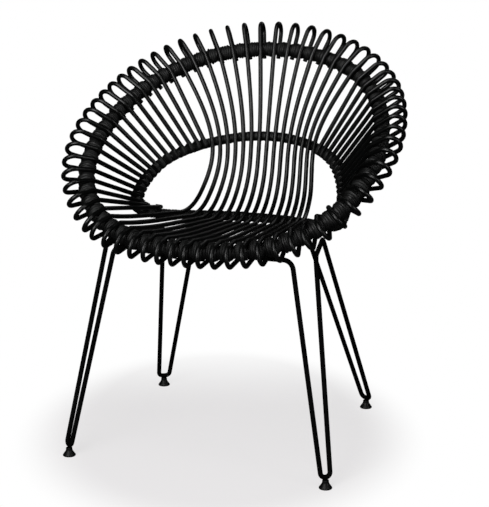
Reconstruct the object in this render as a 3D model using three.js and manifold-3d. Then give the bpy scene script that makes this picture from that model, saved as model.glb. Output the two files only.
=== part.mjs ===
// Tub chair of bent rattan rods on a hairpin base.
// Millimetres, +Z up, the chair faces -Y, the floor is z = 0.

import * as THREE from 'three';
import Module from 'manifold-3d';
import { mergeVertices } from 'three/addons/utils/BufferGeometryUtils.js';

const wasm = await Module();
wasm.setup();

// Driving sizes

const rodDiameter = 9;
const rimDiameter = 28;
const hoopDiameter = 20;
const steelDiameter = 9.4;
const gap = 0.3;
const hoopGap = 0.7;
const sideRodGap = 1.5;

const rodRadius = rodDiameter / 2;
const rimRadius = rimDiameter / 2;
const hoopRadius = hoopDiameter / 2;
const steelRadius = steelDiameter / 2;
const rimToRod = rimRadius + gap + rodRadius;
const hoopToRod = hoopRadius + hoopGap + rodRadius;
const hoopToSideRod = hoopRadius + sideRodGap + rodRadius;

// Ring shapes
// Each ring goes once round while t goes from 0 (middle of the back) to a full turn.
// A share scales the size beside it for the 2nd, 3rd, 4th, 5th wave.

const rim = {
  halfWidth: 290,
  widthShare: [0.008, 0.011, 0.016, -0.006],
  middleY: -1.7,
  halfDepth: 269,
  depthShare: [0.016, -0.019, 0.018, -0.005],
  middleZ: 583,
  rise: 154,
  riseShare: [-0.014, 0.003, 0.023, -0.011],
};

// The hoop is set in from the rim at the sides. Its back hangs at lumbar height, a drop below the
// middle of the rim, and its front bar lies under the bend of the middle rod, turned to the rear
// from straight below the bend.

const hoopInset = 60.2;
const hoopHalfWidth = rim.halfWidth - hoopInset;
const hoopWidthShare = [-0.082, 0.065, -0.01, 0.002];
const hoopDepthShare = [1.04, -0.309, 0.138, -0.037];
const hoopRiseShare = [0.013, -0.019, 0.003, 0.017];
const hoopBackY = 222.1;
const hoopDrop = 21.8;
const hoopBack = new THREE.Vector3(0, hoopBackY, rim.middleZ - hoopDrop);
const barTurn = 0.455;
const barClearance = 3.5;

// Rod layout

const fullTurn = 2 * Math.PI;
const loopCount = 64;
const frontLoop = loopCount / 2;
const longReach = 7;
const sideReach = 17;
const sideSpreadShare = [-0.128, -0.108, 0.132, -0.078, 0.066];
const longSpread = 0.806;

// Seat run of the long rods: their spread at the seat bend is a share of the hoop's half width.
// The front rise is how much steeper a seat rod meets the front of the rim than it leaves the bend.

const seatSpreadShare = 0.5323;
const seatNarrowShare = 0.047;
const seatAimY = 101;
const seatSlope = 0.125;
const seatSlopeGain = 0.051;
const frontRise = 0.07;
const seatBendRadius = 127.5;
const bucketMiddle = new THREE.Vector3(0, 0, rim.middleZ);

// Loops over the rim: angles in radians, lengths in millimetres

const loopReach = 51;
const loopReachGain = 3.5;
const loopBend = 0.2875;
const loopBendShare = [-0.055, -0.09, -0.005, -0.03];
const loopYawShare = [-0.1, -0.04, -0.11];
const loopTailPast = 15;
const rodEndPast = 5;

// Steel base: leg rods from the carrying ring down to the tight bend at the floor. The front legs
// are placed by their set-back from the front of the rim, and the rear legs by theirs from the hoop's
// front bar. The front run clears the middle seat rod, and the rear run stands level with the bar.

const frontRunClearance = 17.2;
const rearRunRise = 6.3;
const toeZ = 22;
const ringBendRadius = 20;
const toeBendRadius = 9;
const frontX = { outerTop: 208, outerToe: 265.4, innerTop: 175, innerToe: 250.9 };
const frontSetBack = { outerTop: 94.1, outerToe: 5.4, innerTop: 51.1, innerToe: -7.3 };
const rearX = { outerTop: 168.2, outerToe: 237.6, innerTop: 116.2, innerToe: 218.4 };
const rearSetBack = { outerTop: -97.8, outerToe: 43.4, innerTop: -40, innerToe: 54.7 };

// Ball feet and tilting glides

const ballRadius = 4;
const ballZ = 10.8;
const stemRadius = 2.2;
const glideRadius = 12.5;
const glideRimHeight = 2.4;
const glideShoulderRadius = 9.6;
const glideShoulderZ = 6.4;
const glideNeckRadius = 6.3;
const glideNeckZ = 11;
const glideTopZ = 16.2;
const glideMouthRadius = 4.1;
const glideThroatRadius = 3.3;

// Clips between base and shell

const clipRadius = 7;
const seatClipRod = 4;
const barClipShare = 0.2;

// Mesh fineness

const rodSides = 6;
const ringSides = 8;
const hoopSteps = 64;
const loopSteps = 6;
const bendSteps = 5;
const seatSteps = 4;
const rimPassSteps = 2;
const ringBendSteps = 4;
const toeBendSteps = 3;
const steelSides = 8;
const ballSides = 12;
const ballRows = 8;
const glideSides = 16;
const socketRows = 5;
const clipSides = 12;
const barSearchSteps = 400;
const nudge = 1e-4;

// Places that follow from the sizes above

const hoop = hoopRing();
const rimFrontY = ringPoint(rim, Math.PI).y;
const frontRunY = rimFrontY + frontSetBack.innerTop;
const frontRingZ = seatRunZ(frontRunY) - rodRadius - frontRunClearance - steelRadius;
const bar = ringPoint(hoop, Math.PI);
const rearRunY = bar.y + rearSetBack.innerTop;
const rearRingZ = bar.z - hoopRadius + rearRunRise - steelRadius;
const frontLeg = {
  outerTop: new THREE.Vector3(frontX.outerTop, rimFrontY + frontSetBack.outerTop, frontRingZ),
  outerToe: new THREE.Vector3(frontX.outerToe, rimFrontY + frontSetBack.outerToe, toeZ),
  innerTop: new THREE.Vector3(frontX.innerTop, frontRunY, frontRingZ),
  innerToe: new THREE.Vector3(frontX.innerToe, rimFrontY + frontSetBack.innerToe, toeZ),
};
const rearLeg = {
  outerTop: new THREE.Vector3(rearX.outerTop, bar.y + rearSetBack.outerTop, rearRingZ),
  outerToe: new THREE.Vector3(rearX.outerToe, bar.y + rearSetBack.outerToe, toeZ),
  innerTop: new THREE.Vector3(rearX.innerTop, rearRunY, rearRingZ),
  innerToe: new THREE.Vector3(rearX.innerToe, bar.y + rearSetBack.innerToe, toeZ),
};

// Materials

const rattan = new THREE.MeshStandardMaterial({ color: 0x1b1a19, roughness: 0.45, metalness: 0 });
const peel = new THREE.MeshStandardMaterial({ color: 0x22201e, roughness: 0.55, metalness: 0 });
const coatedSteel = new THREE.MeshStandardMaterial({ color: 0x161616, roughness: 0.6, metalness: 0.3 });
const plastic = new THREE.MeshStandardMaterial({ color: 0x121212, roughness: 0.5, metalness: 0 });

const group = new THREE.Group();
group.name = 'rattan_tub_chair';

function addPiece(name, geometry, material) {
  const mesh = new THREE.Mesh(geometry, material);
  mesh.name = name;
  group.add(mesh);
}

// Ring curves

function waves(wave, t, shares) {
  return shares.reduce((sum, share, k) => sum + share * wave((k + 2) * t), wave(t));
}

function ringPoint(ring, t) {
  return new THREE.Vector3(
    ring.halfWidth * waves(Math.sin, t, ring.widthShare),
    ring.middleY + ring.halfDepth * waves(Math.cos, t, ring.depthShare),
    ring.middleZ + ring.rise * waves(Math.cos, t, ring.riseShare),
  );
}

function ringTangent(ring, t) {
  const ahead = ringPoint(ring, t + nudge);
  const behind = ringPoint(ring, t - nudge);
  return ahead.sub(behind).normalize();
}

// Height of the middle seat rod's centre line, which runs back and down from the front of the rim

function seatRunZ(y) {
  const { front, seatRun } = middleProfile();
  const behind = y - front.y;
  const share = 1 - behind / Math.cos(seatAngle(0)) / seatRun;
  return front.z - behind * Math.tan(seatAngle(0)) - seatSag(seatRun, share);
}

// How far a seat rod hangs below the straight line, at this share of its run from bend to rim

function seatSag(run, share) {
  return run * frontRise * share * share * (1 - share);
}

function middleProfile() {
  return sideProfile(0, hoopBack, new THREE.Vector3(1, 0, 0));
}

// The middle of the hoop's front bar, seen from the side

function barPlace() {
  const { bendMiddle } = middleProfile();
  const away = seatBendRadius + hoopToRod + barClearance;
  return new THREE.Vector2(
    bendMiddle.x + away * Math.sin(barTurn),
    bendMiddle.y - away * Math.cos(barTurn),
  );
}

// A ring's middle and half length along one axis, from where its back and its front lie

function middleAndHalf(back, front, shares) {
  const atBack = waves(Math.cos, 0, shares);
  const half = (back - front) / (atBack - waves(Math.cos, Math.PI, shares));
  return [back - half * atBack, half];
}

function hoopRing() {
  const front = barPlace();
  const [middleY, halfDepth] = middleAndHalf(hoopBack.y, front.x, hoopDepthShare);
  const [middleZ, rise] = middleAndHalf(hoopBack.z, front.y, hoopRiseShare);
  return {
    halfWidth: hoopHalfWidth,
    widthShare: hoopWidthShare,
    middleY,
    halfDepth,
    depthShare: hoopDepthShare,
    middleZ,
    rise,
    riseShare: hoopRiseShare,
  };
}

// Rod frames: the rim point of loop i, the way out from the hoop and the side the rod lies on

function turnOf(i) {
  return fullTurn * i / loopCount;
}

function spread(t) {
  return sideSpreadShare.reduce((sum, share, k) => sum + share * Math.sin((k + 1) * t), t);
}

function edgeShare(j) {
  return (j / longReach) ** 2;
}

function seatX(j) {
  return hoopHalfWidth * seatSpreadShare * (j / longReach) * (1 - seatNarrowShare * edgeShare(j));
}

function seatAngle(j) {
  return seatSlope + seatSlopeGain * edgeShare(j);
}

function hoopTurn(i) {
  return Math.abs(i) <= longReach ? turnOf(i) * longSpread : spread(turnOf(i));
}

function innerPoint(i, rimPoint) {
  const count = Math.abs(i);
  if (count <= longReach + sideReach) {
    return ringPoint(hoop, hoopTurn(i));
  }
  const j = Math.sign(i) * (frontLoop - count);
  const drop = (seatAimY - rimPoint.y) * Math.tan(seatAngle(j) + frontRise);
  return new THREE.Vector3(seatX(j), seatAimY, rimPoint.z - drop);
}

function rodFrame(i) {
  return frameTowards(i, innerPoint(i, ringPoint(rim, turnOf(i))));
}

function frameTowards(i, inner) {
  const onRim = ringPoint(rim, turnOf(i));
  const outward = onRim.clone().sub(inner).normalize();
  const inside = ringTangent(rim, turnOf(i)).cross(outward).normalize();
  const toMiddle = bucketMiddle.clone().sub(onRim);
  inside.multiplyScalar(Math.sign(inside.dot(toMiddle)));
  return { onRim, inner, outward, inside };
}

function along(origin, ...steps) {
  const point = origin.clone();
  for (const [direction, length] of steps) {
    point.addScaledVector(direction, length);
  }
  return point;
}

function squareTo(direction, heading) {
  return along(direction, [heading, -direction.dot(heading)]).normalize();
}

// Loop stations: past the inner side of the rim, out, round and back below it

function loopFrame(i, frame) {
  const t = turnOf(i);
  const yaw = loopYawShare.reduce((sum, share, k) => sum + share * Math.sin((k + 1) * t), 0);
  const bend = loopBendShare.reduce((sum, share, k) => sum + share * Math.cos((k + 1) * t), loopBend);
  const sideways = frame.inside.clone().cross(frame.outward);
  const level = along(new THREE.Vector3(), [frame.outward, Math.cos(yaw)], [sideways, Math.sin(yaw)]);
  const out = along(new THREE.Vector3(), [level, Math.cos(bend)], [frame.inside, -Math.sin(bend)]);
  const above = along(new THREE.Vector3(), [level, Math.sin(bend)], [frame.inside, Math.cos(bend)]);
  const reach = loopReach + loopReachGain * Math.cos(t) - rimToRod;
  return { out, above, bend, level, reach };
}

function loopStations(i, frame) {
  const { out, above, bend, level, reach } = loopFrame(i, frame);
  const stations = [];
  for (let step = 0; step <= rimPassSteps; step += 1) {
    const angle = bend * step / rimPassSteps;
    stations.push(along(
      frame.onRim,
      [level, rimToRod * Math.sin(angle)],
      [frame.inside, rimToRod * Math.cos(angle)],
    ));
  }
  const middle = along(frame.onRim, [out, reach]);
  for (let step = 0; step <= loopSteps; step += 1) {
    const angle = Math.PI * (step / loopSteps - 0.5);
    stations.push(along(
      middle,
      [out, rimToRod * Math.cos(angle)],
      [above, -rimToRod * Math.sin(angle)],
    ));
  }
  stations.push(along(frame.onRim, [above, -rimToRod], [out, -loopTailPast]));
  return stations;
}

// Long rod body: seen from the side it is two straight runs joined by one arc; across, it
// follows a smooth curve through the rim, the hoop, the seat bend and the front rim

function smoothThrough(places, values) {
  const spans = [0, 1, 2].map((k) => places[k + 1] - places[k]);
  const slopes = [0, 1, 2].map((k) => (values[k + 1] - values[k]) / spans[k]);
  const atLumbar = (slopes[0] * spans[1] + slopes[1] * spans[0]) / (spans[0] + spans[1]);
  const atBend = (slopes[1] * spans[2] + slopes[2] * spans[1]) / (spans[1] + spans[2]);
  const atTop = slopes[0] + (slopes[0] - atLumbar) / 2;
  const atFront = slopes[2] + (slopes[2] - atBend) / 2;
  const held = [atTop, atLumbar, atBend, atFront];
  return (place) => {
    const k = [1, 2].filter((n) => place >= places[n]).length;
    const q = (place - places[k]) / spans[k];
    const blend = q * q * (3 - 2 * q);
    const startLean = q * (1 - q) * (1 - q) * spans[k] * held[k];
    const endLean = q * q * (1 - q) * spans[k] * held[k + 1];
    return values[k] + (values[k + 1] - values[k]) * blend + startLean - endLean;
  };
}

function frontIndexOf(j) {
  return j < 0 ? -(frontLoop + j) : frontLoop - j;
}

// Side view of a long rod that leans on the hoop at this point and heading

function sideProfile(j, onHoop, hoopHeading) {
  const backFrame = frameTowards(j, onHoop);
  const seatFrame = rodFrame(frontIndexOf(j));
  const top = along(backFrame.onRim, [backFrame.inside, rimToRod]);
  const lumbar = along(onHoop, [squareTo(backFrame.inside, hoopHeading), hoopToRod]);
  const front = along(seatFrame.onRim, [seatFrame.inside, rimToRod]);

  // The two straight runs and the corner where they would meet
  const start = new THREE.Vector2(top.y, top.z);
  const finish = new THREE.Vector2(front.y, front.z);
  const down = new THREE.Vector2(lumbar.y, lumbar.z).sub(start);
  const lumbarPlace = down.length();
  down.normalize();
  const backward = new THREE.Vector2(Math.cos(seatAngle(j)), -Math.sin(seatAngle(j)));
  const across = finish.clone().sub(start);
  const crossing = down.cross(backward);
  const backLength = across.cross(backward) / crossing;
  const seatLength = across.cross(down) / crossing;

  // The arc that rounds the corner
  const inner = Math.acos(down.dot(backward));
  const swing = Math.PI - inner;
  const cut = seatBendRadius / Math.tan(inner / 2);
  const inward = backward.clone().negate().addScaledVector(down, down.dot(backward)).normalize();
  const arcStart = start.clone().addScaledVector(down, backLength - cut);
  const bendMiddle = arcStart.clone().addScaledVector(inward, seatBendRadius);
  const seatStart = finish.clone().addScaledVector(backward, seatLength - cut);
  return {
    top, lumbar, front, start, down, backward, inward, lumbarPlace, swing, arcStart, bendMiddle, seatStart,
    backRun: backLength - cut,
    seatRun: seatLength - cut,
  };
}

function longBody(j) {
  const t = hoopTurn(j);
  const profile = sideProfile(j, ringPoint(hoop, t), ringTangent(hoop, t));
  const { top, lumbar, front, start, down, backward, inward, lumbarPlace, swing } = profile;
  const { arcStart, seatStart, backRun, seatRun } = profile;
  const arcLength = seatBendRadius * swing;
  const sidePoints = [];
  for (const place of [lumbarPlace / 2, lumbarPlace, backRun]) {
    sidePoints.push({ place, point: start.clone().addScaledVector(down, place) });
  }
  for (let step = 1; step <= bendSteps; step += 1) {
    const angle = swing * step / bendSteps;
    const point = arcStart.clone();
    point.addScaledVector(down, seatBendRadius * Math.sin(angle));
    point.addScaledVector(inward, seatBendRadius * (1 - Math.cos(angle)));
    sidePoints.push({ place: backRun + seatBendRadius * angle, point });
  }
  for (let step = 1; step < seatSteps; step += 1) {
    const run = seatRun * step / seatSteps;
    const point = seatStart.clone().addScaledVector(backward, -run);
    point.y -= seatSag(seatRun, step / seatSteps);
    sidePoints.push({ place: backRun + arcLength + run, point });
  }
  const bendPlace = backRun + arcLength / 2;
  const endPlace = backRun + arcLength + seatRun;
  const xAt = smoothThrough(
    [0, lumbarPlace, bendPlace, endPlace],
    [top.x, lumbar.x, seatX(j), front.x],
  );
  return sidePoints.map(({ place, point }) => new THREE.Vector3(xAt(place), point.x, point.y));
}

// Rods as swept polygons, one corner of the section turned to the rim

class Route extends THREE.Curve {
  constructor(stations, sides) {
    super();
    this.stations = stations;
    this.sides = sides;
  }

  getUtoTmapping(u) {
    return u;
  }

  getPoint(t) {
    return this.stations[Math.round(t * (this.stations.length - 1))].clone();
  }

  headingAt(k) {
    const last = this.stations.length - 1;
    const heading = new THREE.Vector3();
    for (const n of [Math.max(k - 1, 0), Math.min(k, last - 1)]) {
      heading.add(this.stations[n + 1].clone().sub(this.stations[n]).normalize());
    }
    return heading.normalize();
  }

  computeFrenetFrames() {
    const tangents = this.stations.map((station, k) => this.headingAt(k));
    const normals = tangents.map((tangent, k) => this.sides[k].clone().cross(tangent).normalize());
    const binormals = tangents.map((tangent, k) => tangent.clone().cross(normals[k]));
    return { tangents, normals, binormals };
  }
}

function sweep(stations, sides, radius) {
  const section = new THREE.Shape();
  for (let k = 0; k < rodSides; k += 1) {
    const angle = fullTurn * k / rodSides;
    const corner = [radius * Math.cos(angle), radius * Math.sin(angle)];
    if (k === 0) {
      section.moveTo(...corner);
    } else {
      section.lineTo(...corner);
    }
  }
  section.closePath();
  return new THREE.ExtrudeGeometry(section, {
    steps: stations.length - 1,
    extrudePath: new Route(stations, sides),
    bevelEnabled: false,
  });
}

function loopSide(i, frame) {
  const { out, above } = loopFrame(i, frame);
  return out.clone().cross(above).normalize();
}

function sideRod(i, radius) {
  const frame = rodFrame(i);
  const end = along(frame.inner, [frame.inside, hoopToSideRod], [frame.outward, -rodEndPast]);
  const stations = [end, ...loopStations(i, frame)];
  const side = loopSide(i, frame);
  return sweep(stations, stations.map(() => side), radius);
}

function longRodRoute(j) {
  const backFrame = rodFrame(j);
  const frontIndex = frontIndexOf(j);
  const seatFrame = rodFrame(frontIndex);
  const backLoop = loopStations(j, backFrame).reverse();
  const frontLoopRun = loopStations(frontIndex, seatFrame);
  const body = longBody(j);
  const backSide = loopSide(j, backFrame);
  const frontSide = loopSide(frontIndex, seatFrame).negate();
  const across = new THREE.Vector3(1, 0, 0);
  return {
    stations: [...backLoop, ...body, ...frontLoopRun],
    sides: [...backLoop.map(() => backSide), ...body.map(() => across), ...frontLoopRun.map(() => frontSide)],
    bodyStart: backLoop.length,
    bodyEnd: backLoop.length + body.length,
  };
}

function longRod(j, radius) {
  const route = longRodRoute(j);
  return sweep(route.stations, route.sides, radius);
}

// Closed rings

class RingCurve extends THREE.Curve {
  constructor(shape, facing) {
    super();
    this.shape = shape;
    this.facing = facing;
  }

  getUtoTmapping(u) {
    return u;
  }

  getPoint(t) {
    return ringPoint(this.shape, fullTurn * t);
  }

  computeFrenetFrames(steps) {
    const places = Array.from({ length: steps + 1 }, (unused, k) => (k % steps) / steps);
    const tangents = places.map((t) => ringTangent(this.shape, fullTurn * t));
    const binormals = places.map((t, k) => tangents[k].clone().cross(this.facing(t)).normalize());
    const normals = binormals.map((binormal, k) => binormal.clone().cross(tangents[k]));
    return { tangents, normals, binormals };
  }
}

function facingRods(t) {
  const i = Math.round(t * loopCount);
  return rodFrame(i > frontLoop ? i - loopCount : i).inside;
}

function facingMiddle(t) {
  return bucketMiddle.clone().sub(ringPoint(hoop, fullTurn * t));
}

function outerRim() {
  return new THREE.TubeGeometry(new RingCurve(rim, facingRods), loopCount, rimRadius, ringSides, true);
}

function innerHoop(radius) {
  return new THREE.TubeGeometry(new RingCurve(hoop, facingMiddle), hoopSteps, radius, ringSides, true);
}

// Steel base: one closed bent rod

class ClosedRoute extends THREE.Curve {
  constructor(stations) {
    super();
    this.stations = stations;
  }

  getUtoTmapping(u) {
    return u;
  }

  stationAt(k) {
    const count = this.stations.length;
    return this.stations[(k + count) % count];
  }

  getPoint(t) {
    return this.stationAt(Math.round(t * this.stations.length)).clone();
  }

  getTangent(t) {
    const k = Math.round(t * this.stations.length);
    const before = this.stationAt(k).clone().sub(this.stationAt(k - 1)).normalize();
    const after = this.stationAt(k + 1).clone().sub(this.stationAt(k)).normalize();
    return before.add(after).normalize();
  }
}

function onSide(point, side) {
  return new THREE.Vector3(side * point.x, point.y, point.z);
}

function legCorners(leg, side) {
  return [
    { point: onSide(leg.innerTop, side), kind: 'ring' },
    { point: onSide(leg.innerToe, side), kind: 'toe' },
    { point: onSide(leg.outerToe, side), kind: 'toe' },
    { point: onSide(leg.outerTop, side), kind: 'ring' },
  ];
}

function roundCorner(before, corner, after, radius, steps) {
  const entering = corner.clone().sub(before).normalize();
  const leaving = after.clone().sub(corner).normalize();
  const swing = entering.angleTo(leaving);
  const cut = radius * Math.tan(swing / 2);
  const inward = along(leaving, [entering, -entering.dot(leaving)]).normalize();
  const stations = [];
  for (let step = 0; step <= steps; step += 1) {
    const angle = swing * step / steps;
    stations.push(along(
      corner,
      [entering, radius * Math.sin(angle) - cut],
      [inward, radius * (1 - Math.cos(angle))],
    ));
  }
  return stations;
}

function baseStations() {
  const corners = [
    ...legCorners(frontLeg, 1),
    ...legCorners(rearLeg, 1).reverse(),
    ...legCorners(rearLeg, -1),
    ...legCorners(frontLeg, -1).reverse(),
  ];
  return corners.flatMap(({ point, kind }, k) => {
    const before = corners[(k + corners.length - 1) % corners.length].point;
    const after = corners[(k + 1) % corners.length].point;
    const radius = kind === 'ring' ? ringBendRadius : toeBendRadius;
    const steps = kind === 'ring' ? ringBendSteps : toeBendSteps;
    return roundCorner(before, point, after, radius, steps);
  });
}

function steelTube(radius) {
  const route = new ClosedRoute(baseStations());
  return new THREE.TubeGeometry(route, route.stations.length, radius, steelSides, true);
}

// Joining and cutting

function solid(geometry) {
  const plain = geometry.clone();
  plain.deleteAttribute('normal');
  plain.deleteAttribute('uv');
  const merged = mergeVertices(plain, nudge);
  return new wasm.Manifold(new wasm.Mesh({
    numProp: 3,
    vertProperties: Float32Array.from(merged.attributes.position.array),
    triVerts: Uint32Array.from(merged.index.array),
  }));
}

function geometryOf(manifold) {
  const mesh = manifold.getMesh();
  const geometry = new THREE.BufferGeometry();
  geometry.setAttribute('position', new THREE.BufferAttribute(mesh.vertProperties, 3));
  geometry.setIndex(new THREE.BufferAttribute(mesh.triVerts, 1));
  geometry.computeVertexNormals();
  return geometry;
}

// Feet

function footPlace(leg, side) {
  const middle = leg.outerToe.clone().lerp(leg.innerToe, 0.5);
  return onSide(middle, side).setZ(0);
}

const feet = {
  front_left: footPlace(frontLeg, -1),
  front_right: footPlace(frontLeg, 1),
  rear_left: footPlace(rearLeg, -1),
  rear_right: footPlace(rearLeg, 1),
};

function ballAndStem(foot) {
  const ball = new THREE.SphereGeometry(ballRadius, ballSides, ballRows);
  ball.translate(foot.x, foot.y, ballZ);
  const stem = new THREE.CylinderGeometry(stemRadius, stemRadius, toeZ - ballZ, steelSides);
  stem.rotateX(Math.PI / 2);
  stem.translate(foot.x, foot.y, (toeZ + ballZ) / 2);
  return solid(ball).add(solid(stem));
}

function legFrame() {
  let frame = solid(steelTube(steelRadius));
  for (const foot of Object.values(feet)) {
    frame = frame.add(ballAndStem(foot));
  }
  return geometryOf(frame);
}

function glide(foot) {
  const socketRadius = ballRadius + gap;
  const throatAngle = Math.asin(glideThroatRadius / socketRadius);
  const outline = [
    [0, 0],
    [glideRadius, 0],
    [glideRadius, glideRimHeight],
    [glideShoulderRadius, glideShoulderZ],
    [glideNeckRadius, glideNeckZ],
    [glideNeckRadius, glideTopZ],
    [glideMouthRadius, glideTopZ],
  ];
  for (let row = 0; row <= socketRows; row += 1) {
    const angle = throatAngle + (Math.PI - throatAngle) * row / socketRows;
    const reach = row === socketRows ? 0 : socketRadius * Math.sin(angle);
    outline.push([reach, ballZ + socketRadius * Math.cos(angle)]);
  }
  const points = outline.map(([radius, height]) => new THREE.Vector2(radius, height));
  const geometry = new THREE.LatheGeometry(points, glideSides);
  geometry.rotateX(Math.PI / 2);
  geometry.translate(foot.x, foot.y, 0);
  return geometry;
}

// Clips: short posts from the steel to the shell, grooved at both ends

function post(from, to) {
  const reach = to.clone().sub(from);
  const geometry = new THREE.CylinderGeometry(clipRadius, clipRadius, reach.length(), clipSides);
  const turn = new THREE.Quaternion().setFromUnitVectors(new THREE.Vector3(0, 1, 0), reach.normalize());
  geometry.applyQuaternion(turn);
  geometry.translate(...from.clone().lerp(to, 0.5).toArray());
  return solid(geometry);
}

function barClip(side) {
  const onSteel = new THREE.Vector3(side * hoopHalfWidth * barClipShare, rearRunY, rearRingZ);
  const block = post(onSteel, nearestOnBar(onSteel, side));
  const cut = block.subtract(solid(innerHoop(hoopRadius + gap))).subtract(solid(steelTube(steelRadius + gap)));
  return geometryOf(cut);
}

function nearestOnBar(place, side) {
  let nearest = ringPoint(hoop, Math.PI);
  for (let step = 0; step < barSearchSteps; step += 1) {
    const onHoop = ringPoint(hoop, side * Math.PI * (0.5 + step / barSearchSteps / 2));
    if (onHoop.distanceTo(place) < nearest.distanceTo(place)) {
      nearest = onHoop;
    }
  }
  return nearest;
}

function seatClip(side) {
  const route = longRodRoute(side * seatClipRod);
  const runY = frontRunY;
  const k = route.stations.findIndex((station, n) => (
    n > route.bodyStart + bendSteps && station.y > runY && route.stations[n + 1].y <= runY
  ));
  const from = route.stations[k];
  const to = route.stations[k + 1];
  const onRod = from.clone().lerp(to, (runY - from.y) / (to.y - from.y));
  const block = post(new THREE.Vector3(onRod.x, runY, frontRingZ), onRod);
  const rod = sweep(route.stations, route.sides, rodRadius + gap);
  return geometryOf(block.subtract(solid(rod)).subtract(solid(steelTube(steelRadius + gap))));
}

// Assembly

addPiece('outer_rim', outerRim(), peel);
addPiece('inner_hoop', innerHoop(hoopRadius), peel);
addPiece('leg_frame', legFrame(), coatedSteel);

for (let j = -longReach; j <= longReach; j += 1) {
  const number = String(j + longReach + 1).padStart(2, '0');
  addPiece(`long_rod_${number}`, longRod(j, rodRadius), rattan);
}

for (let k = 1; k <= sideReach; k += 1) {
  const number = String(k).padStart(2, '0');
  addPiece(`left_rod_${number}`, sideRod(-longReach - k, rodRadius), rattan);
  addPiece(`right_rod_${number}`, sideRod(longReach + k, rodRadius), rattan);
}

for (const [name, foot] of Object.entries(feet)) {
  addPiece(`glide_${name}`, glide(foot), plastic);
}

addPiece('clip_rear_left', barClip(-1), plastic);
addPiece('clip_rear_right', barClip(1), plastic);
addPiece('clip_front_left', seatClip(-1), plastic);
addPiece('clip_front_right', seatClip(1), plastic);

export default group;
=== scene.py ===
# Looks of the rattan tub chair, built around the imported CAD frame.
# Shapes are worked out in millimetres and placed in metres. The chair faces -Y.

import math

import bpy
import numpy as np
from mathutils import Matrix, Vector


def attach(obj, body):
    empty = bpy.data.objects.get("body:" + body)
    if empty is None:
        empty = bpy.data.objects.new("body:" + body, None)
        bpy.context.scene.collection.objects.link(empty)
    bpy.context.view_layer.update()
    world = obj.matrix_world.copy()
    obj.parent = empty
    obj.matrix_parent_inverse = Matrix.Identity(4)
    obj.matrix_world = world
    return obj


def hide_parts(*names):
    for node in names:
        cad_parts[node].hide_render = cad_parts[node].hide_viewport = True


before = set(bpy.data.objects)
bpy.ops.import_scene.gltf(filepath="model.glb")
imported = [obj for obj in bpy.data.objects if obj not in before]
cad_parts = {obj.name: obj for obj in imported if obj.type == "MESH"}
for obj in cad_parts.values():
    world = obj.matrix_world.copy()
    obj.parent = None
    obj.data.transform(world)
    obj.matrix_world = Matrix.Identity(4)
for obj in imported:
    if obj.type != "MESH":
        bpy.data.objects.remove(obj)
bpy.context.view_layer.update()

# Sizes shared with the CAD source

METRES = 0.001
ROD_RADIUS = 4.5
RIM_RADIUS = 14.0
HOOP_RADIUS = 10.0
STEEL_RADIUS = 4.7
RIM_CLEARANCE = 0.3
HOOP_CLEARANCE = 0.7
SIDE_ROD_CLEARANCE = 1.5
RIM_TO_ROD = RIM_RADIUS + RIM_CLEARANCE + ROD_RADIUS
HOOP_TO_ROD = HOOP_RADIUS + HOOP_CLEARANCE + ROD_RADIUS
HOOP_TO_SIDE_ROD = HOOP_RADIUS + SIDE_ROD_CLEARANCE + ROD_RADIUS

RIM = {
    "width": 290.0, "width_share": (0.008, 0.011, 0.016, -0.006),
    "y": -1.7, "depth": 269.0, "depth_share": (0.016, -0.019, 0.018, -0.005),
    "z": 583.0, "rise": 154.0, "rise_share": (-0.014, 0.003, 0.023, -0.011),
}
BUCKET_MIDDLE = np.array([0.0, 0.0, RIM["z"]])
HOOP_DROP = 21.8
HOOP_BACK = {"y": 222.1, "z": RIM["z"] - HOOP_DROP}
HOOP_BAR = {"y": 133.47, "z": 406.94}
HOOP_SHAPE = {
    "width": 229.8, "width_share": (-0.082, 0.065, -0.01, 0.002),
    "depth_share": (1.04, -0.309, 0.138, -0.037), "rise_share": (0.013, -0.019, 0.003, 0.017),
}

LOOPS = 64
LONG_REACH = 7
SIDE_REACH = 17
SIDE_SPREAD_SHARE = (-0.128, -0.108, 0.132, -0.078, 0.066)
LONG_SPREAD = 0.806
SEAT_PITCH = 17.475
SEAT_NARROW_SHARE = 0.047
SEAT_AIM_Y = 101.0
SEAT_SLOPE = 0.125
SEAT_SLOPE_GAIN = 0.051
SEAT_BEND_RADIUS = 127.5
FRONT_RISE = 0.07
LOOP_REACH = 51.0
LOOP_REACH_GAIN = 3.5
LOOP_BEND = 0.2875
LOOP_BEND_SHARE = (-0.055, -0.09, -0.005, -0.03)
LOOP_YAW_SHARE = (-0.1, -0.04, -0.11)
LOOP_TAIL_PAST = 15.0
ROD_END_PAST = 5.0

FRONT_RING_Z = 415.31
REAR_RING_Z = 398.54
TOE_Z = 22.0
RING_BEND_RADIUS = 20.0
TOE_BEND_RADIUS = 9.0
FRONT_LEG = {
    "outer_top": (208.0, -161.0), "outer_toe": (265.4, -249.7),
    "inner_top": (175.0, -204.0), "inner_toe": (250.9, -262.4), "z": FRONT_RING_Z,
}
REAR_LEG = {
    "outer_top": (168.2, 35.67), "outer_toe": (237.6, 176.87),
    "inner_top": (116.2, 93.47), "inner_toe": (218.4, 188.17), "z": REAR_RING_Z,
}
BALL_RADIUS = 4.0
BALL_Z = 10.8
STEM_RADIUS = 2.2

# Fineness

ROD_SIDES = 14
RIM_SIDES = 30
HOOP_SIDES = 24
STEEL_SIDES = 20
GLIDE_SIDES = 40
OVER_RIM_STATIONS = 5
OUTWARD_SHARES = (0.25, 0.5, 0.75)
LOOP_STATIONS = 19
TAIL_STATIONS = 9
BACK_STATIONS = 46
BEND_STATIONS = 28
SEAT_STATIONS = 40
SIDE_STATIONS = 26
STEEL_BEND_STATIONS = 13
STEEL_STEP = 25.0
LEAST_ROD_STEP = 0.4
LEAST_STEEL_STEP = 0.2
NUDGE = 1e-4

# Hand-made unevenness of rods and wrap

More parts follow.
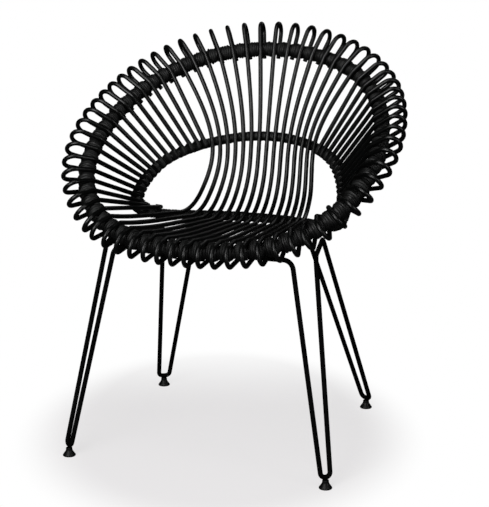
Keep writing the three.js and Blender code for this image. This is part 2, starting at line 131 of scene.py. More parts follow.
ROD_END_EASE = 0.5
ROD_SWELL = 0.12
ROD_SWELL_SPAN = 47
ROD_SWELL_START = (0, 6)
NODE_HEIGHT = 0.3
NODE_SPREAD = 3.5
FIRST_NODE = (60, 200)
NODE_SPACING = (190, 280)
SIDE_ROD_SEED = 540
LONG_ROD_SEED = 590

TURNS_PER_LOOP = 6
HOOP_TURNS = 236
TURN_SAMPLES = 6
RIM_RIDGE = 1.5
HOOP_RIDGE = 0.7
RIDGE_POWER = 2.2
RIDGE_SUNK_SHARE = 0.7
TURN_HEIGHT_SHARE = 0.36
TURN_LEAN_SHARE = 0.5
LUMP_SHARE = 0.36
LUMPS_ROUND = 4
LUMP_SHIFT = 40
LUMP_RHYTHM = 1.7
WRAP_INSET = 0.1
RIM_DRAWN_IN = 1.5
RIM_SWELL = 1.3
RIM_SWELL_GAIN = 3.4
RIM_SWELL_POWER = 0.8
TIE_REACH = (-6.0, 8.0)
TIE_STATIONS = 5
TIE_HALF_WIDTH = 3.0
TIE_FADE = 3.5
TIE_THICKNESS = 0.5
HULL_SIDES = 72
HULL_LEAST_FACING = 0.05
WRAP_SEED = 20


# Ring curves and rod frames, as in the CAD source

def unit(v):
    return v / np.linalg.norm(v, axis=-1, keepdims=True)


def waves(wave, t, shares):
    total = wave(t)
    for k, share in enumerate(shares):
        total = total + share * wave((k + 2) * t)
    return total


def middle_and_half(back, front, shares):
    """Middle and half length of a ring along one axis, from where its back and front lie."""
    at_back, at_front = waves(np.cos, 0.0, shares), waves(np.cos, math.pi, shares)
    half = (back - front) / (at_back - at_front)
    return back - half * at_back, half


def ring_point(ring, t):
    t = np.asarray(t, float)
    return np.stack([
        ring["width"] * waves(np.sin, t, ring["width_share"]),
        ring["y"] + ring["depth"] * waves(np.cos, t, ring["depth_share"]),
        ring["z"] + ring["rise"] * waves(np.cos, t, ring["rise_share"]),
    ], -1)


def ring_tangent(ring, t):
    return unit(ring_point(ring, t + NUDGE) - ring_point(ring, t - NUDGE))


hoop_y, hoop_depth = middle_and_half(HOOP_BACK["y"], HOOP_BAR["y"], HOOP_SHAPE["depth_share"])
hoop_z, hoop_rise = middle_and_half(HOOP_BACK["z"], HOOP_BAR["z"], HOOP_SHAPE["rise_share"])
HOOP = {**HOOP_SHAPE, "y": hoop_y, "depth": hoop_depth, "z": hoop_z, "rise": hoop_rise}


def turn_of(i):
    return 2 * math.pi * i / LOOPS


def harmonics(wave, t, shares, start=0.0):
    return start + sum(share * wave((k + 1) * t) for k, share in enumerate(shares))


def other_end(i):
    """Where a long rod's other loop lies, counted round the rim from the middle of the back."""
    return math.copysign(LOOPS / 2 - abs(i), i)


def edge_share(j):
    return (j / LONG_REACH) ** 2


def seat_x(j):
    return SEAT_PITCH * j * (1 - SEAT_NARROW_SHARE * edge_share(j))


def seat_angle(j):
    return SEAT_SLOPE + SEAT_SLOPE_GAIN * edge_share(j)


def hoop_turn(i):
    if abs(i) <= LONG_REACH:
        return turn_of(i) * LONG_SPREAD
    return harmonics(math.sin, turn_of(i), SIDE_SPREAD_SHARE, turn_of(i))


def inner_point(i, on_rim):
    """Point that the rod comes from: on the hoop, or at the rear of the seat for a front loop."""
    if abs(i) <= LONG_REACH + SIDE_REACH:
        return ring_point(HOOP, hoop_turn(i))
    j = other_end(i)
    drop = (SEAT_AIM_Y - on_rim[1]) * math.tan(seat_angle(j) + FRONT_RISE)
    return np.array([seat_x(j), SEAT_AIM_Y, on_rim[2] - drop])


def rod_frame(i):
    on_rim = ring_point(RIM, turn_of(i))
    inner = inner_point(i, on_rim)
    outward = unit(on_rim - inner)
    inside = unit(np.cross(ring_tangent(RIM, turn_of(i)), outward))
    inside = inside * np.sign(inside @ (BUCKET_MIDDLE - on_rim))
    return on_rim, inner, outward, inside


def loop_points(i):
    """Centre line of a loop: past the inner side of the rim, out, round and back below it."""
    on_rim, _, outward, inside = rod_frame(i)
    t = turn_of(i)
    yaw = harmonics(math.sin, t, LOOP_YAW_SHARE)
    bend = harmonics(math.cos, t, LOOP_BEND_SHARE, LOOP_BEND)
    level = math.cos(yaw) * outward + math.sin(yaw) * np.cross(inside, outward)
    out = math.cos(bend) * level - math.sin(bend) * inside
    above = math.sin(bend) * level + math.cos(bend) * inside
    reach = LOOP_REACH + LOOP_REACH_GAIN * math.cos(t) - RIM_TO_ROD
    over_rim = [
        on_rim + RIM_TO_ROD * (math.sin(a) * level + math.cos(a) * inside)
        for a in np.linspace(0, bend, OVER_RIM_STATIONS)
    ]
    going_out = [on_rim + RIM_TO_ROD * above + reach * q * out for q in OUTWARD_SHARES]
    middle = on_rim + reach * out
    half_turn = [
        middle + RIM_TO_ROD * (math.cos(a) * out - math.sin(a) * above)
        for a in np.linspace(-math.pi / 2, math.pi / 2, LOOP_STATIONS)
    ]
    below = on_rim - RIM_TO_ROD * above
    tail = [
        below + (reach + (-LOOP_TAIL_PAST - reach) * q) * out
        for q in np.linspace(0, 1, TAIL_STATIONS)[1:]
    ]
    return np.array(over_rim + going_out + half_turn + tail)


def smooth_through(places, values):
    """Smooth curve through four values. At the inner two its slope lies between those beside."""
    spans = np.diff(places)
    slopes = np.diff(values) / spans
    at_lumbar = (slopes[0] * spans[1] + slopes[1] * spans[0]) / (spans[0] + spans[1])
    at_bend = (slopes[1] * spans[2] + slopes[2] * spans[1]) / (spans[1] + spans[2])
    held = (1.5 * slopes[0] - 0.5 * at_lumbar, at_lumbar, at_bend, 1.5 * slopes[2] - 0.5 * at_bend)

    def value(place):
        k = int(place >= places[1]) + int(place >= places[2])
        q = (place - places[k]) / spans[k]
        blend = q * q * (3 - 2 * q)
        lean = q * (1 - q) ** 2 * spans[k] * held[k] - q * q * (1 - q) * spans[k] * held[k + 1]
        return values[k] + (values[k + 1] - values[k]) * blend + lean
    return value


def long_body_points(j):
    """Centre line of a long rod between its two loops."""
    back_rim, lumbar_hoop, _, back_inside = rod_frame(j)
    front_rim, _, _, front_inside = rod_frame(other_end(j))
    hoop_heading = ring_tangent(HOOP, hoop_turn(j))
    lumbar_side = unit(back_inside - (back_inside @ hoop_heading) * hoop_heading)
    top = back_rim + RIM_TO_ROD * back_inside
    lumbar = lumbar_hoop + HOOP_TO_ROD * lumbar_side
    front = front_rim + RIM_TO_ROD * front_inside

    # Side view: a straight back and a straight seat that meet in one bend
    start, finish = top[1:], front[1:]
    down = lumbar[1:] - start
    lumbar_place = np.linalg.norm(down)
    down = down / lumbar_place
    backward = np.array([math.cos(seat_angle(j)), -math.sin(seat_angle(j))])
    across = finish - start
    crossing = down[0] * backward[1] - down[1] * backward[0]
    back_length = (across[0] * backward[1] - across[1] * backward[0]) / crossing
    seat_length = (across[0] * down[1] - across[1] * down[0]) / crossing
    corner = math.acos(down @ backward)
    swing = math.pi - corner
    cut = SEAT_BEND_RADIUS / math.tan(corner / 2)
    inward = unit(-backward + (down @ backward) * down)
    back_run, seat_run = back_length - cut, seat_length - cut
    arc_start = start + back_run * down
    seat_start = finish + seat_run * backward
    run = []
    for place in np.linspace(0, back_run, BACK_STATIONS)[1:]:
        run.append((place, start + place * down))
    for angle in np.linspace(0, swing, BEND_STATIONS)[1:]:
        turned_by = math.sin(angle) * down + (1 - math.cos(angle)) * inward
        run.append((back_run + SEAT_BEND_RADIUS * angle, arc_start + SEAT_BEND_RADIUS * turned_by))
    arc_end = back_run + SEAT_BEND_RADIUS * swing
    for length in np.linspace(0, seat_run, SEAT_STATIONS)[1:-1]:
        share = length / seat_run
        sag = np.array([0, FRONT_RISE * seat_run * share * share * (1 - share)])
        run.append((arc_end + length, seat_start - length * backward - sag))

    # Front view: the rod drifts sideways from the rim to the hoop, the bend and the front rim
    bend_place = back_run + SEAT_BEND_RADIUS * swing / 2
    x_at = smooth_through(
        np.array([0, lumbar_place, bend_place, arc_end + seat_run]),
        np.array([top[0], lumbar[0], seat_x(j), front[0]]),
    )
    return np.array([(x_at(place), point[0], point[1]) for place, point in run])


# Mesh making

def circle(sides):
    return np.linspace(0, 2 * math.pi, sides, endpoint=False)


def mesh_object(name, points, faces, uvs=None):
    mesh = bpy.data.meshes.new(name)
    mesh.from_pydata((np.asarray(points) * METRES).tolist(), [], [list(f) for f in faces])
    if uvs is not None:
        layer = mesh.uv_layers.new(name="Along")
        loops = np.zeros(len(mesh.loops), int)
        mesh.loops.foreach_get("vertex_index", loops)
        layer.data.foreach_set("uv", np.asarray(uvs, np.float32)[loops].ravel())
    mesh.polygons.foreach_set("use_smooth", [True] * len(mesh.polygons))
    mesh.update()
    made = bpy.data.objects.new(name, mesh)
    bpy.context.scene.collection.objects.link(made)
    return made


def carried_frames(centres, closed):
    """Normals and sides that turn with the line and don't spin about it."""
    ahead = np.roll(centres, -1, 0) - centres
    if not closed:
        ahead[-1] = ahead[-2]
    ahead = unit(ahead)
    behind = np.roll(ahead, 1, 0)
    if not closed:
        behind[0] = ahead[0]
    heading = unit(ahead + behind)
    slanted = (0.3, 0.5, 0.8)
    normal = unit(np.cross(heading[0], slanted))
    normals = []
    for k in range(len(centres)):
        normal = unit(normal - (normal @ heading[k]) * heading[k])
        normals.append(normal)
    normals = np.array(normals)
    if closed:
        last = unit(normals[-1] - (normals[-1] @ heading[0]) * heading[0])
        side = np.cross(heading[0], normals[0])
        spin = math.atan2(last @ side, last @ normals[0])
        for k in range(len(centres)):
            a = -spin * k / len(centres)
            b = np.cross(heading[k], normals[k])
            normals[k] = math.cos(a) * normals[k] + math.sin(a) * b
    return normals, np.cross(heading, normals)


def rings_round(centres, radii, normal, side, a):
    """Points at these angles round each centre, each at its own radius."""
    return centres[:, None] + radii[..., None] * (
        np.cos(a)[None, :, None] * normal[:, None] + np.sin(a)[None, :, None] * side[:, None]
    )


def skin(name, rings, along, a, closed=False):
    """Mesh over an array of rings (count, sides, 3). along runs with the line, for the texture."""
    count, sides = rings.shape[:2]
    faces = []
    spans = count if closed else count - 1
    for k in range(spans):
        first, second = k * sides, (k + 1) % count * sides
        for s in range(sides):
            n = (s + 1) % sides
            faces.append((first + s, first + n, second + n, second + s))
    if not closed:
        faces.append(tuple(range(sides - 1, -1, -1)))
        faces.append(tuple(range((count - 1) * sides, count * sides)))
    uvs = np.empty((count, sides, 2))
    uvs[..., 0] = along
    uvs[..., 1] = a[None] / (2 * math.pi)
    return mesh_object(name, rings.reshape(-1, 3), faces, uvs.reshape(-1, 2))


def lengths_along(points):
    steps = np.linalg.norm(np.diff(points, axis=0), axis=1)
    return np.concatenate([[0], np.cumsum(steps)])


def tube(name, centres, radius, sides, closed=False, end_ease=0.0):
    """Round bar along a line. end_ease is how far its end edges are eased."""
    radii = np.broadcast_to(np.asarray(radius, float), (len(centres),)).copy()
    if end_ease:
        at_start = unit(centres[1] - centres[0])
        at_end = unit(centres[-1] - centres[-2])
        centres = np.vstack([
            centres[0], centres[0] + end_ease * at_start, centres[1:-1],
            centres[-1] - end_ease * at_end, centres[-1],
        ])
        radii = np.concatenate([
            [radii[0] - end_ease, radii[0]], radii[1:-1], [radii[-1], radii[-1] - end_ease],
        ])
    normal, side = carried_frames(centres, closed)
    a = circle(sides)
    rings = rings_round(centres, radii[:, None], normal, side, a)
    return skin(name, rings, lengths_along(centres)[:, None] * METRES, a, closed)


def turned(name, outline, sides, x, y):
    """Surface of revolution about a vertical axis through x, y. outline is (radius, z) points."""
    a = circle(sides)
    outline = np.asarray(outline, float)
    rings = np.empty((len(outline), sides, 3))
    rings[..., 0] = x + outline[:, :1] * np.cos(a)[None]
    rings[..., 1] = y + outline[:, :1] * np.sin(a)[None]
    rings[..., 2] = outline[:, 1:]
    return skin(name, rings, np.linspace(0, 1, len(outline))[:, None], a)


def no_repeats(points, least):
    kept = [points[0]]
    for p in points[1:]:
        if np.linalg.norm(p - kept[-1]) > least:
            kept.append(p)
    return np.array(kept)


# Node trees and materials

WHITE = (1.0, 1.0, 1.0)
BLACK = (0.0, 0.0, 0.0)
TINT_SHARES = (0.94, 1.0, 0.98)


def grey(value):
    return tuple(value * share for share in TINT_SHARES)


class Tree:
    """Node tree that is built up in steps. Most steps give the socket that they end in."""

    def __init__(self, tree):
        self.nodes = tree.nodes
        self.links = tree.links

    def add(self, kind, **settings):
        """New node. A setting is one of its properties, or else the value of an input."""
        made = self.nodes.new(kind)
        for key, value in settings.items():
            if hasattr(made, key):
                setattr(made, key, value)
            else:
                made.inputs[key.replace("_", " ")].default_value = value
        return made

    def glow(self, colour, strength):
        made = self.add("ShaderNodeEmission", Color=(*colour, 1.0), Strength=strength)
        return made.outputs["Emission"]

    def chosen(self, share, first, second):
        """First shader where the share is 0, second where it is 1."""
        made = self.add("ShaderNodeMixShader")
        self.links.new(share, made.inputs["Fac"])
        self.links.new(first, made.inputs[1])
        self.links.new(second, made.inputs[2])
        return made.outputs["Shader"]

    def maths(self, operation, *operands):
        """Maths node. Each operand is a socket or a number."""
        made = self.add("ShaderNodeMath", operation=operation)
        for k, operand in enumerate(operands):
            if isinstance(operand, bpy.types.NodeSocket):
                self.links.new(operand, made.inputs[k])
            else:
                made.inputs[k].default_value = operand
        return made.outputs["Value"]

    def remap(self, value, given=(0.0, 1.0), to=(0.0, 1.0), interpolation="LINEAR"):
        made = self.add("ShaderNodeMapRange", interpolation_type=interpolation)
        for name, level in zip(("From Min", "From Max", "To Min", "To Max"), (*given, *to)):
            made.inputs[name].default_value = level
        self.links.new(value, made.inputs["Value"])
        return made.outputs["Result"]

    def split(self, vector):
        made = self.add("ShaderNodeSeparateXYZ")
        self.links.new(vector, made.inputs["Vector"])
        return made.outputs

    def place(self, source, **settings):
        """Texture place from this source, scaled or moved by a mapping."""
        origin = self.add("ShaderNodeTexCoord")
        mapping = self.add("ShaderNodeMapping", **settings)
        self.links.new(origin.outputs[source], mapping.inputs["Vector"])
        return mapping.outputs["Vector"]

    def noise(self, place, scale, detail, roughness):
        made = self.add("ShaderNodeTexNoise", Scale=scale, Detail=detail, Roughness=roughness)
        self.links.new(place, made.inputs["Vector"])
        return made.outputs["Fac"]

    def ramp(self, value, stops):
        """Colours by value, from (place, colour) stops."""
        made = self.add("ShaderNodeValToRGB")
        points = made.color_ramp.elements
        while len(points) < len(stops):
            points.new(0.5)
        for point, (place, colour) in zip(points, stops):
            point.position = place
            point.color = (*colour, 1.0)
        self.links.new(value, made.inputs["Fac"])
        return made.outputs["Color"]

    def multiplied(self, colour, shade):
        made = self.add("ShaderNodeMix", data_type="RGBA", blend_type="MULTIPLY", Factor=1.0)
        self.links.new(colour, made.inputs["A"])
        self.links.new(shade, made.inputs["B"])
        return made.outputs["Result"]


class Look(Tree):
    """Material on the standard shader. specular is the level over its whole surface."""

    def __init__(self, name, specular):
        self.material = bpy.data.materials.new(name)
        self.material.use_nodes = True
        super().__init__(self.material.node_tree)
        self.shader = self.nodes["Principled BSDF"]
        self.shader.inputs["Specular IOR Level"].default_value = specular

    def drive(self, name, socket):
        self.links.new(socket, self.shader.inputs[name])

    def bump(self, height, strength, distance):
        made = self.add("ShaderNodeBump", Strength=strength, Distance=distance)
        self.links.new(height, made.inputs["Height"])
        self.drive("Normal", made.outputs["Normal"])


def rattan_rod():
    """Black lacquer over skinned rod: long grain, faint streaks, dusty worn patches."""
    look = Look("rattan_rod", specular=0.42)
    grain = look.noise(look.place("UV", Scale=(14.0, 34.0, 1.0)), scale=1.0, detail=5.0, roughness=0.6)
    patches = look.noise(look.place("Object"), scale=9.0, detail=4.0, roughness=0.55)
    tint = look.ramp(grain, [(0.3, grey(0.0007)), (0.55, grey(0.0016)), (0.8, grey(0.006))])
    worn = look.ramp(patches, [(0.45, grey(1.0)), (0.75, grey(1.7))])
    look.drive("Base Color", look.multiplied(tint, worn))
    look.drive("Roughness", look.remap(patches, given=(0.3, 0.75), to=(0.27, 0.4)))
    look.bump(grain, strength=0.35, distance=0.0004)
    return look.material


def wound_peel():
    """Black lacquer over wound peel: each turn has its own tone and sheen, dull in the grooves."""
    look = Look("wound_peel", specular=0.42)
    winding = look.split(look.place("UV"))["X"]
    turn = look.add("ShaderNodeTexWhiteNoise", noise_dimensions="1D")
    look.links.new(look.maths("FLOOR", winding), turn.inputs["W"])
    tone = turn.outputs["Value"]
    fibres = look.noise(look.place("UV", Scale=(9.0, 3.0, 1.0)), scale=1.0, detail=4.0, roughness=0.6)
    tint = look.ramp(tone, [(0.0, grey(0.0005)), (0.6, grey(0.0014)), (1.0, grey(0.006))])
    streak = look.ramp(fibres, [(0.3, grey(0.7)), (0.7, grey(1.4))])
    look.drive("Base Color", look.multiplied(tint, streak))
    gloss = look.remap(fibres, to=(0.34, 0.5))
    turn_share = 0.16
    uneven = look.maths("MULTIPLY_ADD", tone, turn_share, gloss)
    across = look.maths("FRACT", winding)
    groove = look.ramp(across, [(0.0, WHITE), (0.24, BLACK), (0.76, BLACK), (1.0, WHITE)])
    groove_share = 0.35
    look.drive("Roughness", look.maths("MULTIPLY_ADD", groove, groove_share, uneven))
    look.bump(fibres, strength=0.4, distance=0.0003)
    return look.material


def powder_coat():
    """Matt black powder coat: fine orange peel and a little rub."""
    look = Look("powder_coat", specular=0.04)
    fine = look.noise(look.place("Object"), scale=900.0, detail=2.0, roughness=0.5)
    broad = look.noise(look.place("Object"), scale=14.0, detail=3.0, roughness=0.5)
    look.drive("Base Color", look.ramp(broad, [(0.35, grey(0.0008)), (0.7, grey(0.0025))]))
    look.drive("Roughness", look.remap(broad, to=(0.55, 0.72)))
    look.bump(fine, strength=0.12, distance=0.0001)
    return look.material


def moulded_plastic():
    """Black moulded plastic: fine spark texture with scuffs."""
    look = Look("moulded_plastic", specular=0.25)
    fine = look.noise(look.place("Object"), scale=1500.0, detail=2.0, roughness=0.5)
    flattened = look.place("Object", Scale=(1.0, 1.0, 3.0))
    scuff = look.noise(flattened, scale=160.0, detail=5.0, roughness=0.65)
    look.drive("Base Color", look.ramp(scuff, [(0.45, grey(0.0015)), (0.72, grey(0.006))]))
    look.drive("Roughness", look.remap(scuff, to=(0.36, 0.58)))
    look.bump(fine, strength=0.2, distance=0.0001)
    return look.material


ROD_LOOK = rattan_rod()
PEEL_LOOK = wound_peel()
STEEL_LOOK = powder_coat()
PLASTIC_LOOK = moulded_plastic()


def dress(piece, look, nodes, body="frame"):
    """Give a piece its material and its body, and hide the CAD nodes that it stands for."""
    piece.data.materials.append(look)
    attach(piece, body)
    if nodes:
        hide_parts(*nodes)


# Rods

def rod_radii(points, seed):
    """Slow thickness change, with the low ridge of a node here and there."""
    local = np.random.default_rng(seed)
    length = lengths_along(points)
    start = local.uniform(*ROD_SWELL_START)
    radii = ROD_RADIUS + ROD_SWELL * np.sin(length / ROD_SWELL_SPAN + start)
    knot = local.uniform(*FIRST_NODE)
    while knot < length[-1]:
        radii = radii + NODE_HEIGHT * np.exp(-((length - knot) / NODE_SPREAD) ** 2)
        knot += local.uniform(*NODE_SPACING)
    return radii


def rod(name, points, seed):
    points = no_repeats(np.vstack(points), LEAST_ROD_STEP)
    bar = tube(f"bent_{name}", points, rod_radii(points, seed), ROD_SIDES, end_ease=ROD_END_EASE)
    dress(bar, ROD_LOOK, [name])


def side_rod(i):
    _, inner, outward, inside = rod_frame(i)
    end = inner + HOOP_TO_SIDE_ROD * inside - ROD_END_PAST * outward
    loop = loop_points(i)
    straight = [end + (loop[0] - end) * q for q in np.linspace(0, 1, SIDE_STATIONS)[:-1]]
    name = f"{'left' if i < 0 else 'right'}_rod_{abs(i) - LONG_REACH:02d}"
    rod(name, [straight, loop], SIDE_ROD_SEED + i)


def long_rod(j):
    points = [loop_points(j)[::-1], long_body_points(j), loop_points(other_end(j))]
    rod(f"long_rod_{j + LONG_REACH + 1:02d}", points, LONG_ROD_SEED + j)


for j in range(-LONG_REACH, LONG_REACH + 1):
    long_rod(j)
for i in range(LONG_REACH + 1, LONG_REACH + SIDE_REACH + 1):
    side_rod(-i)
    side_rod(i)


# Wound rings

chance = np.random.default_rng(WRAP_SEED)


def wound_ring(name, ring, radius, turns, sides, ridge, extra):
    """Ring wound with flat peel. Each turn is a rounded band a little unlike the next.

    extra gives what is added to the radius from the stations, their frames and the angles.
    """
    columns = turns * TURN_SAMPLES
    t = 2 * math.pi * np.arange(columns) / columns
    centres = ring_point(ring, t)
    heading = ring_tangent(ring, t)
    facing = BUCKET_MIDDLE[None] - centres
    normal = unit(facing - (facing * heading).sum(1, keepdims=True) * heading)
    side = np.cross(heading, normal)
    a = circle(sides)
    winding = turns * t[:, None] / (2 * math.pi) + a[None] / (2 * math.pi)
    number = np.floor(winding).astype(int) % turns
    across = winding - np.floor(winding)
    height = chance.normal(0, TURN_HEIGHT_SHARE, turns) * ridge
    lean = chance.normal(0, TURN_LEAN_SHARE, turns) * ridge
    band = ridge * (1 - np.abs(2 * across - 1) ** RIDGE_POWER) - RIDGE_SUNK_SHARE * ridge
    band = band + height[number] + lean[number] * (across - 0.5)
    lumps = LUMP_SHARE * ridge * np.sin(LUMPS_ROUND * a[None] + LUMP_SHIFT * height[number])
    lumps = lumps * np.sin(number * LUMP_RHYTHM)
    radii = radius - WRAP_INSET + band + lumps + extra(t, centres, normal, side, a)
    rings = rings_round(centres, radii, normal, side, a)
    return skin(name, rings, winding, a, closed=True)


def rim_swell(t, centres, normal, side, a):
    """The wrap stands proud between two rods, most at the front, and is drawn in at each rod."""
    s = (t * LOOPS / (2 * math.pi)) % 1
    proud = RIM_SWELL + RIM_SWELL_GAIN * (1 - np.cos(t)) / 2
    rounded = np.sin(math.pi * s) ** RIM_SWELL_POWER
    return (-RIM_DRAWN_IN + (RIM_DRAWN_IN + proud) * rounded)[:, None]


def hull_radii(places, radius, least, a):
    """Distance from the origin to the convex outline round circles at these places."""
    b = circle(HULL_SIDES)
    support = (places @ np.stack([np.cos(b), np.sin(b)])).max(0) + radius
    support = np.maximum(support, least)
    facing = np.cos(a[:, None] - b[None])
    far = support[None] / np.maximum(facing, HULL_LEAST_FACING)
    return np.where(facing > HULL_LEAST_FACING, far, np.inf).min(1)


def tie_swell(t, centres, normal, side, a):
    """The wrap runs over the end of each side rod that lies on the hoop."""
    added = np.zeros((len(t), len(a)))
    along = np.linspace(*TIE_REACH, TIE_STATIONS)[:, None]
    for count in range(LONG_REACH + 1, LONG_REACH + SIDE_REACH + 1):
        for i in (-count, count):
            _, inner, outward, inside = rod_frame(i)
            ends = inner + HOOP_TO_SIDE_ROD * inside + along * outward
            apart = np.linalg.norm(centres - inner, axis=1)
            for k in np.nonzero(apart < TIE_HALF_WIDTH + TIE_FADE)[0]:
                fade = min(1.0, (TIE_HALF_WIDTH + TIE_FADE - apart[k]) / TIE_FADE)
                flat = np.stack([(ends - centres[k]) @ normal[k], (ends - centres[k]) @ side[k]], 1)
                hull = hull_radii(flat, ROD_RADIUS + TIE_THICKNESS, HOOP_RADIUS, a)
                grown = fade * fade * (3 - 2 * fade) * (hull - HOOP_RADIUS)
                added[k] = np.maximum(added[k], grown)
    return added


rim_turns = LOOPS * TURNS_PER_LOOP
rim = wound_ring("wound_rim", RIM, RIM_RADIUS, rim_turns, RIM_SIDES, RIM_RIDGE, rim_swell)
dress(rim, PEEL_LOOK, ["outer_rim"])
hoop = wound_ring("wound_hoop", HOOP, HOOP_RADIUS, HOOP_TURNS, HOOP_SIDES, HOOP_RIDGE, tie_swell)
dress(hoop, PEEL_LOOK, ["inner_hoop"])


# Steel base with its ball feet, and the glides

def leg_corners(leg, side):
    def at(point, z):
        return np.array([side * point[0], point[1], z])
    return [
        (at(leg["inner_top"], leg["z"]), RING_BEND_RADIUS),
        (at(leg["inner_toe"], TOE_Z), TOE_BEND_RADIUS),
        (at(leg["outer_toe"], TOE_Z), TOE_BEND_RADIUS),
        (at(leg["outer_top"], leg["z"]), RING_BEND_RADIUS),
    ]


def base_points():
    """Centre line of the base: one closed rod through four legs, rounded at each corner."""
    corners = (leg_corners(FRONT_LEG, 1) + leg_corners(REAR_LEG, 1)[::-1]
               + leg_corners(REAR_LEG, -1) + leg_corners(FRONT_LEG, -1)[::-1])
    points = []
    for k, (corner, radius) in enumerate(corners):
        before = corners[k - 1][0]
        after = corners[(k + 1) % len(corners)][0]
        entering, leaving = unit(corner - before), unit(after - corner)
        swing = math.acos(entering @ leaving)
        cut = radius * math.tan(swing / 2)
        inward = unit(leaving - (entering @ leaving) * entering)
        for angle in np.linspace(0, swing, STEEL_BEND_STATIONS):
            points.append(corner + (radius * math.sin(angle) - cut) * entering
                          + radius * (1 - math.cos(angle)) * inward)
    return no_repeats(np.array(points), LEAST_STEEL_STEP)


def even_line(points, step):
    """The same closed line with stations added, so that none lies twice the step from the next."""
    filled = []
    for k, p in enumerate(points):
        after = points[(k + 1) % len(points)]
        count = max(1, int(np.linalg.norm(after - p) / step))
        filled += [p + (after - p) * q / count for q in range(count)]
    return np.array(filled)


def foot_place(leg, side):
    x, y = (np.array(leg["outer_toe"]) + np.array(leg["inner_toe"])) / 2
    return side * x, y


base_line = even_line(base_points(), STEEL_STEP)
base = tube("bent_base", base_line, STEEL_RADIUS, STEEL_SIDES, closed=True)
dress(base, STEEL_LOOK, ["leg_frame"])

FEET = {
    "front_left": foot_place(FRONT_LEG, -1),
    "front_right": foot_place(FRONT_LEG, 1),
    "rear_left": foot_place(REAR_LEG, -1),
    "rear_right": foot_place(REAR_LEG, 1),
}

# Radius and height: the flat foot, the bell, its lip and the cup inside
GLIDE_OUTLINE = [
    (0.02, 0.0), (11.6, 0.0), (12.1, 0.15), (12.45, 0.5), (12.5, 1.0), (12.5, 1.9), (12.3, 2.3),
    (11.9, 2.55), (11.5, 2.9), (11.1, 3.6), (10.6, 4.6), (9.9, 5.7), (9.0, 6.9), (8.1, 8.2),
    (7.3, 9.6), (6.75, 11.0), (6.4, 12.4), (6.25, 13.8), (6.3, 15.0), (6.25, 15.7), (6.0, 16.1),
    (5.5, 16.2), (4.4, 16.2), (3.9, 15.9), (3.5, 15.0), (3.35, 13.7), (3.8, 12.9), (4.2, 11.8),
    (4.3, 10.8), (4.0, 9.2), (3.0, 7.7), (1.5, 6.75), (0.02, 6.5),
]
BALL_OPENING = 0.6
BALL_STATIONS = 12
NEARLY_ZERO = 0.01
STEM_FOOT_Z = 14.6
STEM_TOP_Z = 19.0
STUD_OUTLINE = [
    (BALL_RADIUS * math.sin(a), BALL_Z - BALL_RADIUS * math.cos(a))
    for a in np.linspace(NEARLY_ZERO, math.pi - BALL_OPENING, BALL_STATIONS)
] + [(STEM_RADIUS, STEM_FOOT_Z), (STEM_RADIUS, STEM_TOP_Z)]

for foot, (foot_x, foot_y) in FEET.items():
    cap = turned(f"glide_cap_{foot}", GLIDE_OUTLINE, GLIDE_SIDES, foot_x, foot_y)
    dress(cap, PLASTIC_LOOK, [f"glide_{foot}"], f"glide_{foot}_body")
    stud = turned(f"ball_stud_{foot}", STUD_OUTLINE, STEEL_SIDES, foot_x, foot_y)
    dress(stud, STEEL_LOOK, [])

# Clips keep their CAD shape

for clip_name in ("clip_rear_left", "clip_rear_right", "clip_front_left", "clip_front_right"):
    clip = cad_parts[clip_name]
    clip.data.materials.clear()
    clip.data.materials.append(PLASTIC_LOOK)

# Floor and backdrop, in metres. The painted shadow under the chair, a grey patch on the floor, is
# turned with the camera.

CAMERA_AZIMUTH = 18.091
FLOOR_HALF = 30.0
FLOOR_TONE = (0.2, 0.19, 0.194)
FLOOR_ROUGHNESS = 0.9
FLOOR_GLOW = 0.68
FLOOR_GLOW_COLOUR = (1.0, 0.99, 0.995)
FLOOR_IN_REFLECTIONS = (0.06, 0.06, 0.06)
# The grey patch is a painted shadow under the chair: where it lies, how far it reaches and how its
# edges fade.
PAINTED_SHADOW_MIDDLE = (-0.021, -0.042)
PAINTED_SHADOW_HALF = (0.342, 0.43)
PAINTED_SHADOW_EDGE_SHARES = (0.8, 1.24)
PAINTED_SHADOW_FAR_SHARES = (0.25, 1.5)
ROOM_LIGHT = 0.008


def floor_look():
    """Pale floor: a soft grey patch below the chair, a painted shadow that also keeps the chair's real
    shadow, white beyond.
    """
    look = Look("pale_floor", specular=0.5)
    look.shader.inputs["Base Color"].default_value = (*FLOOR_TONE, 1.0)
    look.shader.inputs["Roughness"].default_value = FLOOR_ROUGHNESS
    lit = look.add("ShaderNodeAddShader")
    look.links.new(look.shader.outputs["BSDF"], lit.inputs[0])
    look.links.new(look.glow(FLOOR_GLOW_COLOUR, FLOOR_GLOW), lit.inputs[1])
    painted_shadow_place = look.place(
        "Object", vector_type="TEXTURE", Location=(*PAINTED_SHADOW_MIDDLE, 0.0),
        Rotation=(0.0, 0.0, math.radians(CAMERA_AZIMUTH)), Scale=(*PAINTED_SHADOW_HALF, 1.0),
    )
    far = look.add("ShaderNodeVectorMath", operation="LENGTH")
    look.links.new(painted_shadow_place, far.inputs[0])
    fade = look.remap(far.outputs["Value"], given=PAINTED_SHADOW_EDGE_SHARES, interpolation="SMOOTHSTEP")
    behind = look.remap(look.split(painted_shadow_place)["Y"], given=PAINTED_SHADOW_FAR_SHARES, interpolation="SMOOTHSTEP")
    # Zero inside the painted shadow and one beyond it, where the floor is plain white.
    beyond_painted_shadow = look.maths("MAXIMUM", fade, behind)
    seen = look.chosen(beyond_painted_shadow, lit.outputs["Shader"], look.glow(WHITE, 1.0))
    dark = look.add("ShaderNodeBsdfDiffuse", Color=(*FLOOR_IN_REFLECTIONS, 1.0))
    to_camera = look.add("ShaderNodeLightPath").outputs["Is Camera Ray"]
    surface = look.chosen(to_camera, dark.outputs["BSDF"], seen)
    look.links.new(surface, look.nodes["Material Output"].inputs["Surface"])
    return look.material


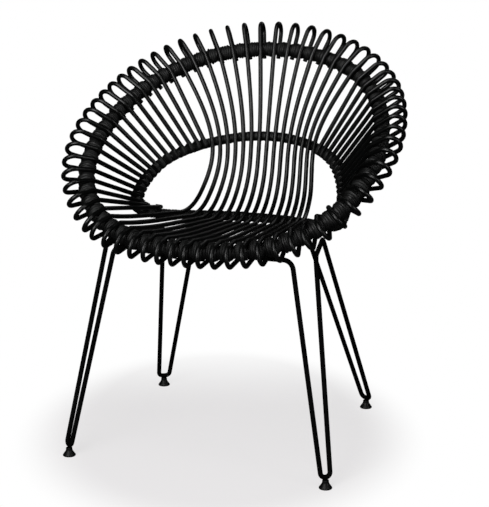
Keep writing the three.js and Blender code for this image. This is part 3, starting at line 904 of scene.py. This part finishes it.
floor_corners = np.array([(-1, -1, 0), (1, -1, 0), (1, 1, 0), (-1, 1, 0)]) * FLOOR_HALF / METRES
floor = mesh_object("floor", floor_corners, [(0, 1, 2, 3)])
floor.data.materials.append(floor_look())

world = bpy.data.worlds.new("studio")
bpy.context.scene.world = world
world.use_nodes = True
studio = Tree(world.node_tree)
studio.nodes.clear()
room = studio.add("ShaderNodeBackground", Color=(*WHITE, 1.0), Strength=ROOM_LIGHT)
backdrop = studio.add("ShaderNodeBackground", Color=(*WHITE, 1.0), Strength=1.0)
to_camera = studio.add("ShaderNodeLightPath").outputs["Is Camera Ray"]
all_round = studio.chosen(to_camera, room.outputs["Background"], backdrop.outputs["Background"])
studio.links.new(all_round, studio.add("ShaderNodeOutputWorld").inputs["Surface"])

# Softboxes, in metres and watts: a wide one in front, one above, a weak one behind, one to the right

SOFTBOXES = {
    "key_light": {"at": (-0.5, -2.9, 1.7), "aim": (0, 0, 0.5), "size": (1.8, 1.3), "power": 58},
    "top_light": {"at": (0.0, -1.3, 2.6), "aim": (0, -0.1, 0.4), "size": (1.4, 1.4), "power": 17},
    "back_light": {"at": (0.1, 2.6, 1.7), "aim": (0, 0, 0.4), "size": (1.6, 1.0), "power": 3.5},
    "fill_light": {"at": (2.6, -1.2, 1.2), "aim": (0, 0, 0.5), "size": (0.9, 1.4), "power": 14},
}


def softbox(name, at, aim, size, power):
    light = bpy.data.lights.new(name, "AREA")
    light.shape = "RECTANGLE"
    light.size, light.size_y = size
    light.energy = power
    lamp = bpy.data.objects.new(name, light)
    lamp.location = at
    lamp.rotation_euler = (Vector(aim) - Vector(at)).to_track_quat("-Z", "Y").to_euler()
    bpy.context.scene.collection.objects.link(lamp)


for light_name, settings in SOFTBOXES.items():
    softbox(light_name, **settings)

# Camera at the photograph's angle

CAMERA_PITCH = 14.758
CAMERA_AT = (0.9387, -2.8326, 1.1493)
FOCAL_PX = 1549.78
CENTRE_PX = (242.6, 253.6)
IMAGE_PX = (489, 507)
SENSOR_MM = 36.0
CLIP_NEAR = 0.05
CLIP_FAR = 200

camera_data = bpy.data.cameras.new("camera")
camera = bpy.data.objects.new("camera", camera_data)
bpy.context.scene.collection.objects.link(camera)
bpy.context.scene.camera = camera
camera_data.sensor_fit = "VERTICAL"
camera_data.sensor_height = SENSOR_MM
camera_data.sensor_width = SENSOR_MM
camera_data.lens = FOCAL_PX / IMAGE_PX[1] * SENSOR_MM
camera_data.shift_x = (IMAGE_PX[0] / 2 - CENTRE_PX[0]) / IMAGE_PX[1]
camera_data.shift_y = (CENTRE_PX[1] - IMAGE_PX[1] / 2) / IMAGE_PX[1]
camera_data.clip_start = CLIP_NEAR
camera_data.clip_end = CLIP_FAR
azimuth, pitch = math.radians(CAMERA_AZIMUTH), math.radians(CAMERA_PITCH)
ahead = Vector((
    -math.sin(azimuth) * math.cos(pitch),
    math.cos(azimuth) * math.cos(pitch),
    -math.sin(pitch),
))
camera.location = CAMERA_AT
camera.rotation_euler = ahead.to_track_quat("-Z", "Y").to_euler()

bpy.context.scene.view_settings.view_transform = "Standard"
